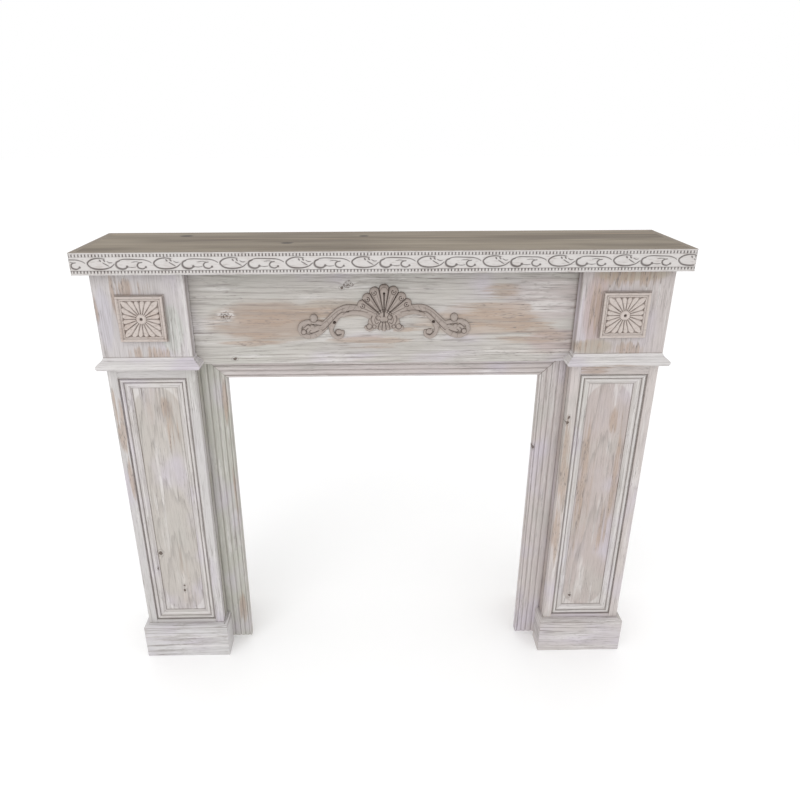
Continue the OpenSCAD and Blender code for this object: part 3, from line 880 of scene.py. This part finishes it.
def soften(grid, reach):
    """Blurs a grid of heights over a reach of so many grid steps."""
    span = np.arange(-int(3 * reach), int(3 * reach) + 1)
    weights = np.exp(-0.5 * (span / reach) ** 2)
    weights /= weights.sum()
    pad = len(span) // 2
    for axis in (0, 1):
        padded = np.pad(grid, [(pad, pad) if a == axis else (0, 0) for a in (0, 1)], mode="edge")
        grid = np.apply_along_axis(lambda r: np.convolve(r, weights, mode="valid"), axis, padded)
    return grid


def flower_face(half, thick):
    """Heights of the tile's face over the block, in mm, and how much glaze lies in its hollows, with
    painted shade along its outer edge.
    """
    spaces = np.linspace(-half, half, int(2 * half / 0.6) + 1)
    u, v = np.meshgrid(spaces, spaces)
    edge = half - np.maximum(abs(u), abs(v))  # distance in from the tile's side
    ground = thick * 0.45
    frame_top = np.interp(
        edge,
        [0, 0.5, 1.4, 3.0, 4.2, 6.8, 7.6, 8.8, 9.6, 10.4],
        [0.50, 0.82, 0.97, 1.0, 0.86, 0.60, 0.66, 0.74, 0.60, 0.45],
    ) * thick
    angle = np.arctan2(v, u)
    radius = np.hypot(u, v)
    reach = (half - 10.6) / np.maximum(abs(np.cos(angle)), abs(np.sin(angle)))
    petals = np.zeros(u.shape)
    rng = np.random.default_rng(21)
    for i in range(PETALS):
        bearing = 2 * math.pi * (i + 0.5) / PETALS
        off = (angle - bearing + math.pi) % (2 * math.pi) - math.pi
        t = np.clip((radius - 8) / (reach - 8), 0, 1.2)
        half_width = radius * math.tan(math.pi / PETALS) * (0.55 + 0.42 * np.clip(t * 1.6, 0, 1))
        half_width = half_width * np.sqrt(np.clip(1 - np.clip((t - 0.78) / 0.24, 0, 1) ** 2, 0, 1))
        across = radius * np.sin(off) / np.maximum(half_width, 0.2)
        body = np.sqrt(np.clip(1 - across**2, 0, 1)) * (t < 1.02) * (abs(off) < 1)
        body = body * rng.uniform(0.8, 1.1)  # no two petals stand equally high
        hollow = 1 - 0.28 * np.exp(-((across / 0.25) ** 2)) * np.clip(t * 2, 0, 1)
        petals = np.maximum(petals, body * hollow * (0.6 + 0.4 * t))
    petals = np.where(radius > 7, petals, 0)
    height = np.where(edge > 10.4, ground + petals * thick * 0.42, frame_top)
    boss = thick * (0.60 + 0.34 * np.sqrt(np.clip(1 - ((radius - 6.0) / 3.9) ** 2, 0, 1)))
    dimple = thick * 0.62 * np.clip(1 - (radius / 3.0) ** 2, 0, 1)
    height = np.where(radius < 9.9, np.maximum(boss - dimple, ground * 0.8), height)
    height = soften(height, 0.8)
    dark = np.clip((soften(height, 3.5) - height) / 1.5, 0, 1.0)
    dark = np.maximum(dark, np.clip(1.2 - radius / 2.4, 0, 1))
    # Painted shade along the tile's outer edge.
    dark = np.maximum(dark, np.clip(1 - edge / 1.2, 0, 1) * 0.7)
    return u, v, height, dark


carving_finish = glaze_and_shade_finish(
    "carved_wood", 8, paint(200, 190, 184), paint(112, 99, 93), paint(184, 168, 158), 0.9,
    (120, 120, 260),
)

for side in SIDES:
    low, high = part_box(f"{side}_rosette")
    half = (high.x - low.x) * 500
    face = flower_face(half, (high.y - low.y) * 1000)
    middle = Vector(((low.x + high.x) / 2, high.y, (low.z + high.z) / 2))
    piece = carve(f"{side}_flower_tile", face, facing_front(middle), 0)
    finish_piece(piece, carving_finish, f"{side}_rosette")


# --- Shell and scroll ---
# One piece pressed from wood paste: a fan shell over a leaf tuft, with a leafy scroll on each
# side. It is screwed and glued to the frieze, so that three screw holes show.


class Relief:
    """Heights in mm over a grid, built up from raised strokes and then cut into. field is above
    0 inside the carving's outline."""

    def __init__(self, low, high, spacing):
        self.columns = np.arange(low[0], high[0] + spacing, spacing)
        self.rows = np.arange(low[1], high[1] + spacing, spacing)
        self.u, self.v = np.meshgrid(self.columns, self.rows)
        self.height = np.zeros(self.u.shape)
        self.field = np.full(self.u.shape, -1.0)
        self.dark = np.zeros(self.u.shape)

    def near(self, path, reach):
        """The part of the grid within reach of a path."""
        low, high = path.min(0) - reach, path.max(0) + reach
        c0, c1 = np.searchsorted(self.columns, (low[0], high[0]))
        r0, r1 = np.searchsorted(self.rows, (low[1], high[1]))
        return slice(r0, r1), slice(c0, c1)

    def raise_along(self, points, r0, r1, high, ribs=0):
        """A rounded stroke from radius r0 to r1. ribs are lengthwise grooves on it."""
        path = flowing(points, 8)
        here = self.near(path, max(r0, r1) * 2)
        gap, part = away(self.u[here], self.v[here], path)
        radius = r0 + (r1 - r0) * part
        inside = 1 - (gap / radius) ** 2
        top = high * np.sqrt(np.clip(inside, 0, 1))
        if ribs:
            top = top * (1 - 0.22 * (0.5 - 0.5 * np.cos(2 * np.pi * ribs * gap / radius)))
        self.height[here] = np.maximum(self.height[here], np.where(inside > 0, 1.4 + top, 0))
        self.field[here] = np.maximum(self.field[here], inside)

    def cut_along(self, points, width, depth, shade=0.8):
        path = flowing(points, 8)
        here = self.near(path, width * 2)
        gap, part = away(self.u[here], self.v[here], path)
        groove = np.clip(1 - gap / width, 0, 1)
        self.height[here] = np.where(
            self.field[here] > 0, np.maximum(self.height[here] - depth * groove, 0.3), self.height[here]
        )
        self.dark[here] = np.maximum(self.dark[here], shade * np.clip(1.5 * groove, 0, 1))

    def drill(self, x, y, radius):
        here = self.near(np.array([[x, y]], float), radius * 2)
        gap = np.hypot(self.u[here] - x, self.v[here] - y)
        hole = np.clip((radius - gap) / 0.6, 0, 1)
        self.height[here] = self.height[here] * (1 - 0.92 * hole)
        self.dark[here] = np.maximum(self.dark[here], 1.8 * hole)

    def ring(self, x, y, radius, width, depth, start=0.0, end=360.0):
        """Cuts a round groove, or a part of one between two angles."""
        angles = np.radians(np.linspace(start, end, 12))
        points = [(x + radius * math.cos(a), y + radius * math.sin(a)) for a in angles]
        self.cut_along(points, width, depth)


# Strokes of the leafy scroll on the right, in mm from the middle of the fan: the radius at both
# ends, the height, the number of lengthwise ribs, and the places that the stroke runs through
SCROLL_STROKES = [
    # stem that arches from the shell out to the leaf, and a long leaf lying under it
    (6.5, 7.5, 4.4, 1,
     [(26, 8), (42, 15), (60, 19.5), (78, 19.5), (94, 12), (107, 0), (120, -13), (132, -24)]),
    (6.5, 3.5, 3.6, 0, [(30, 3), (44, 8), (58, 10), (72, 8.5), (82, 4)]),
    # strand that drops from the stem to the screw pad and rolls up in a volute
    (5.0, 7.5, 3.8, 0, [(80, 10), (92, 4), (101, -5), (108, -16)]),
    (5.0, 4.0, 3.6, 0, [(105, -14), (108.5, -24), (105, -36), (96, -42.5), (87, -38.5), (85.5, -30.5)]),
    (6.5, 6.0, 3.0, 0, [(95, -31), (91, -31.5)]),
    # leaf at the stem's end: a rolled rim round curling lobes
    (5.5, 4.2, 3.8, 0,
     [(120, -15), (131, -12), (146, -9), (160, -9.5), (170, -15), (173.5, -25), (169, -35)]),
    (7.0, 5.0, 3.8, 0, [(122, -20), (132, -30), (144, -38), (157, -40), (167, -36)]),
    (9.0, 7.0, 2.8, 0, [(128, -22), (140, -26), (152, -25), (160, -20)]),
    (5.0, 5.0, 3.6, 0, [(164, -31), (165, -30)]),
    (4.0, 4.0, 4.6, 0, [(146, -19), (147, -18)]),
    # berry over the leaf
    (8.0, 8.0, 5.2, 0, [(143.5, -0.6), (143.6, -0.2)]),
    # scroll at the foot of the shell
    (4.0, 4.2, 4.2, 0, [(37, 14), (28, 11), (21, 2), (18.5, -10), (22, -21), (30, -26.5), (36.5, -22)]),
    (5.5, 5.5, 4.0, 0, [(31, -19.5), (30, -18.5)]),
]
# Cuts that part the strands: half the width, the depth, and how much glaze lies in it
SCROLL_CUTS = [
    (1.2, 1.8, 0.6, [(34, 11), (48, 14.2), (62, 15.2), (74, 13), (84, 7.5)]),
    (1.2, 2.0, 0.7, [(72, 12), (86, 11), (96, 4), (106, -7), (116, -18), (126, -27)]),
    (0.9, 1.0, 0.45, [(80, 20), (94, 14.5), (108, 3), (120, -8), (130, -16)]),
    (1.1, 1.8, 0.6, [(98, -22), (101, -30), (96, -37), (90, -35)]),
    (1.2, 2.0, 0.85, [(130, -16), (142, -14), (156, -15), (165, -21)]),
    (1.2, 2.0, 0.85, [(134, -27), (146, -32), (157, -33), (160, -27), (156, -22)]),
    (1.1, 1.6, 0.8, [(150, -26), (154, -30), (149, -34)]),
]
# Veins across the stem and the leaf, from one side to the other
SCROLL_VEINS = [
    ((46, 20), (52, 12)), ((58, 24), (64, 16)), ((70, 25), (76, 15)), ((84, 21), (87, 12)),
    ((96, 13), (97, 5)), ((107, 4), (105, -4)), ((118, -6), (113, -13)), ((126, -26), (134, -22)),
    ((138, -41), (142, -33)), ((152, -43), (153, -35)), ((150, -7), (150, -13)),
]


def on_side(sign, points):
    """The same places on the right (1) or mirrored to the left (-1)."""
    return [(sign * x, z) for x, z in points]


shell = Relief((-178, -54), (178, 72), 0.62)  # reaches just past the carving on all sides

for s in (-1, 1):
    for start_radius, end_radius, high, ribs, points in SCROLL_STROKES:
        shell.raise_along(on_side(s, points), start_radius, end_radius, high, ribs)
    for width, deep, shade, points in SCROLL_CUTS:
        shell.cut_along(on_side(s, points), width, deep, shade)
    # round the leaf's eye, the berry, the foot scroll's eye and the volute's eye
    shell.ring(s * 165, -30, 5.2, 1.0, 1.6)
    shell.ring(s * 143.5, -0.4, 8.6, 1.2, 1.4)
    shell.ring(s * 30.2, -19, 5.6, 1.1, 1.8)
    shell.ring(s * 93, -31.3, 6.4, 1.0, 1.5, 60, 330)
    shell.drill(s * 101.5, -9.8, 3.4)  # screw hole
    for start, end in SCROLL_VEINS:
        middle = ((start[0] + end[0]) / 2 - 1.2, (start[1] + end[1]) / 2)
        shell.cut_along(on_side(s, [start, middle, end]), 0.8, 1.1, 0.45)


def bearing_out(degrees):
    """The direction out from the middle of the fan at a bearing."""
    return np.array([math.cos(math.radians(degrees)), math.sin(math.radians(degrees))])


# fan shell: a rib for each lobe, its end rolled over. Each lobe's bearing and reach
LOBES = [(149, 60), (130, 61), (110, 65), (90, 67), (71, 66), (50.5, 63), (32, 63)]
for bearing, reach in LOBES:
    out = bearing_out(bearing)
    shell.raise_along([out * 6, out * (reach * 0.5), out * (reach - 9)], 3.6, 10.6, 5.6)
for (bearing, reach), (next_bearing, next_reach) in zip(LOBES[:-1], LOBES[1:]):
    out = bearing_out((bearing + next_bearing) / 2)
    shell.cut_along([out * 12, out * 30, out * (min(reach, next_reach) - 3)], 1.5, 3.0, 0.9)
for bearing, reach in LOBES:
    if bearing == 90:  # the middle lobe has a slot and a screw hole
        shell.cut_along([(0, 2), (0, 26), (0, 50)], 1.5, 4.5, 1.6)
        shell.drill(0, 50, 2.4)
        shell.cut_along([(-8, 56), (-4, 62), (4, 62), (8, 56)], 0.9, 1.2, 0.6)
        continue
    out = bearing_out(bearing)
    side = np.array([-out[1], out[0]]) * (1 if bearing > 90 else -1)
    eye = out * (reach - 10) + side * 1.5
    shell.ring(eye[0], eye[1], 4.6, 1.3, 2.6, bearing + 40, bearing + 320)
    outer_cut = [out * 16 + side * 1.5, out * 28 + side * 2.6, out * (reach - 16) + side * 4.6]
    inner_cut = [out * 20 - side * 1.2, out * 32 - side * 2.0, out * (reach - 15) - side * 3.4]
    shell.cut_along(outer_cut, 1.0, 2.0, 0.7)
    shell.cut_along(inner_cut, 0.8, 1.3, 0.5)
    shell.drill(eye[0], eye[1], 1.3)

# ruffled leaves under the shell, and curls that join them to the scrolls
for i in range(-2, 3):
    shell.raise_along([(i * 4, -2), (i * 7, -14), (i * 9.0, -24.5 + 2.2 * abs(i))], 5.4, 5.8, 4.6)
for s in (-1, 1):
    shell.raise_along(on_side(s, [(12, 6), (19, 0), (22, -8), (21, -16)]), 6.0, 6.5, 4.0)
    shell.raise_along(on_side(s, [(26, -8), (27, -12)]), 6.0, 6.0, 3.6)
    shell.cut_along(on_side(s, [(9, 8), (16, 3), (19, -6), (16, -13), (11, -10)]), 1.1, 2.0, 0.75)
    shell.cut_along(on_side(s, [(24, 4), (26.5, -5), (23, -14), (24, -22)]), 1.1, 2.0, 0.7)
    shell.ring(s * 20, -19, 3.6, 1.0, 1.6, 90 - s * 30, 90 + s * 230)
for i in range(-2, 2):
    shell.cut_along([(i * 4 + 2, -8), (i * 7 + 3.5, -16), (i * 8.6 + 4.3, -28)], 1.2, 2.4, 0.8)
for i in range(-2, 3):
    shell.cut_along([(i * 7.4, -17), (i * 8.4, -23)], 0.8, 1.3, 0.5)
shell.ring(0, 0, 17, 1.2, 1.8, 25, 155)
# the small flower, and the curl beside it
shell.raise_along([(12, 1), (12.3, 1)], 4.6, 4.6, 6.0)
shell.ring(12, 1, 5.0, 1.0, 1.6)
shell.ring(-11, -1, 4.6, 1.0, 1.6, 20, 290)
shell.ring(0, -2, 9, 1.0, 1.4, 190, 350)

shell.height = np.where(shell.field > 0, soften(shell.height, 0.7), 0)
# glaze lies in the cuts, in the hollows and round the rim
hollow = np.clip((soften(shell.height, 4.0) - shell.height) / 2.2, 0, 1) * (shell.field > 0)
rim = np.clip(1 - shell.field / 0.30, 0, 1) * 0.6
shell.dark = np.maximum(np.maximum(shell.dark, hollow), rim)


def carve_outline(name, relief, to_row):
    """A carved piece cut to its outline: grid points just outside are drawn in to it."""
    inside = relief.field > 0
    keep = inside[:-1, :-1] | inside[:-1, 1:] | inside[1:, 1:] | inside[1:, :-1]
    quads = grid_quads(inside.shape)[keep]
    used = np.unique(quads)
    renumber = np.zeros(inside.size, int)
    renumber[used] = np.arange(len(used))
    spacing = relief.columns[1] - relief.columns[0]
    slope_v, slope_u = np.gradient(relief.field, spacing)
    steep = np.maximum(slope_u**2 + slope_v**2, 1e-6)
    drawn = np.where(inside, 0, -relief.field)
    move_u = np.clip(drawn * slope_u / steep, -spacing, spacing)
    move_v = np.clip(drawn * slope_v / steep, -spacing, spacing)
    height = np.where(inside, relief.height, -0.05)
    places = to_row((relief.u + move_u).ravel(), (relief.v + move_v).ravel(), height.ravel())
    return add_piece(name, places[used], renumber[quads], len(quads), relief.dark.ravel()[used])


frieze_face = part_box("shell_onlay")[1].y
middle_of_fan = Vector((0, frieze_face, under_capital + 0.099))
piece = carve_outline("shell_and_scroll", shell, facing_front(middle_of_fan))
shell_finish = glaze_and_shade_finish(
    "pressed_shell", 9, paint(168, 157, 150), paint(86, 74, 68), paint(152, 139, 130), 1.0,
    (120, 120, 260),
)
finish_piece(piece, shell_finish, "shell_onlay")


# --- Stage ---
# A white sweep: a pale floor that runs out of sight, and soft light from all round with a large
# lamp over the viewer's left shoulder.

SWEEP = 20  # half the floor's width, in metres
corners = [(-SWEEP, -SWEEP, 0), (SWEEP, -SWEEP, 0), (SWEEP, SWEEP, 0), (-SWEEP, SWEEP, 0)]
floor_mesh = bpy.data.meshes.new("floor")
floor_mesh.from_pydata(corners, [], [(0, 1, 2, 3)])
floor = bpy.data.objects.new("floor", floor_mesh)
bpy.context.scene.collection.objects.link(floor)
floor_material = bpy.data.materials.new("white_floor")
floor_material.use_nodes = True
floor_inputs = floor_material.node_tree.nodes["Principled BSDF"].inputs
floor_inputs["Base Color"].default_value = (0.93, 0.93, 0.93, 1)
floor_inputs["Roughness"].default_value = 0.9
floor_inputs["Emission Color"].default_value = (1, 1, 1, 1)
floor_inputs["Emission Strength"].default_value = 0.12
floor_mesh.materials.append(floor_material)

world = bpy.data.worlds.new("studio")
world.use_nodes = True
backdrop = world.node_tree.nodes["Background"].inputs
backdrop["Color"].default_value = (1, 1, 1, 1)
backdrop["Strength"].default_value = 1.0
bpy.context.scene.world = world


def lamp(name, place, aim, size, power):
    light = bpy.data.lights.new(name, "AREA")
    light.size = size
    light.energy = power
    holder = bpy.data.objects.new(name, light)
    bpy.context.scene.collection.objects.link(holder)
    holder.location = place
    holder.rotation_euler = (Vector(aim) - Vector(place)).to_track_quat("-Z", "Y").to_euler()


lamp("key_lamp", place=(-1.6, -2.6, 3.0), aim=(0, 0, 0.5), size=2.0, power=18)

# The camera looks down on the shelf, and a little to the right of straight on
yaw, pitch, roll = math.radians(0.84), math.radians(23.306), math.radians(-0.223)
camera_data = bpy.data.cameras.new("camera")
camera_data.sensor_width = 36
camera_data.lens = 30.607
camera_data.shift_x = 0.02866
camera_data.shift_y = 0.00725
camera = bpy.data.objects.new("camera", camera_data)
bpy.context.scene.collection.objects.link(camera)
camera.matrix_world = (
    Matrix.Translation((-0.0347, -1.4178, 1.2369))
    @ Matrix.Rotation(-yaw, 4, "Z")
    @ Matrix.Rotation(math.radians(90) - pitch, 4, "X")
    @ Matrix.Rotation(roll, 4, "Z")
)
bpy.context.scene.camera = camera
bpy.context.scene.view_settings.view_transform = "Standard"
